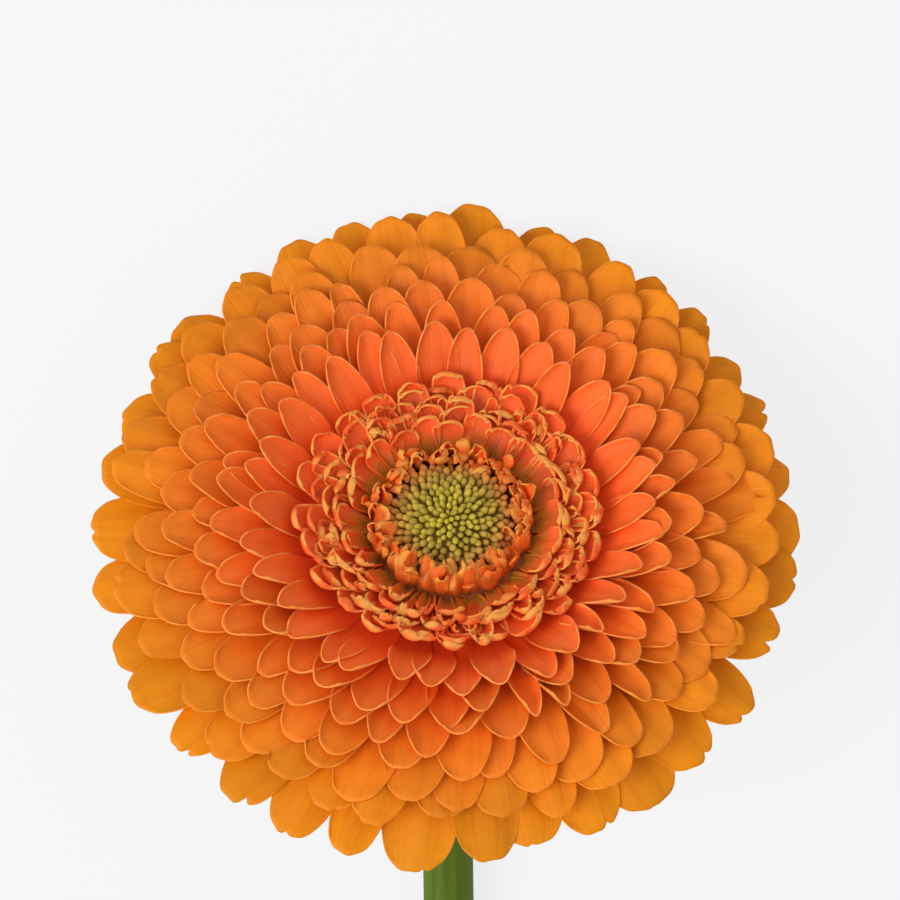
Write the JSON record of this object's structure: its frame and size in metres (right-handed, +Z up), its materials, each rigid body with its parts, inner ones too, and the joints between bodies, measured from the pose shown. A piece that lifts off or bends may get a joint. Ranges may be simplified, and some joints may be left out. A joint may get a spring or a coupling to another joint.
{
  "type": "gerbera daisy",
  "caption": "Cut gerbera daisy, fully double, orange with a green disc, lying on a bare green stem whose bent neck turns the head's face up.",
  "frame": {"origin": "middle of the rectangle of ground that the flower covers, on the surface it lies on", "axes": "+Y along the surface from the stem's cut end to the head, +Z up, +X to the right of someone looking along +Y"},
  "size_m": [0.0896, 0.2006, 0.0501],
  "materials": {
    "ray_petals": "thin petal, satin, orange, paler along its margins",
    "crown_petals": "thin petal, satin, red-orange with pale curled lips",
    "disc": "tight buds, yellow-green, browner towards the edge",
    "bracts": "dull green, short pale down",
    "stem": "dull green, fine pale down, moist where cut"
  },
  "bodies": {
    "root": {"ray_florets": "ray_petals", "crown_florets": "crown_petals", "disc_florets": "disc", "involucre": "bracts", "stem": "stem"}
  },
  "joints": []
}
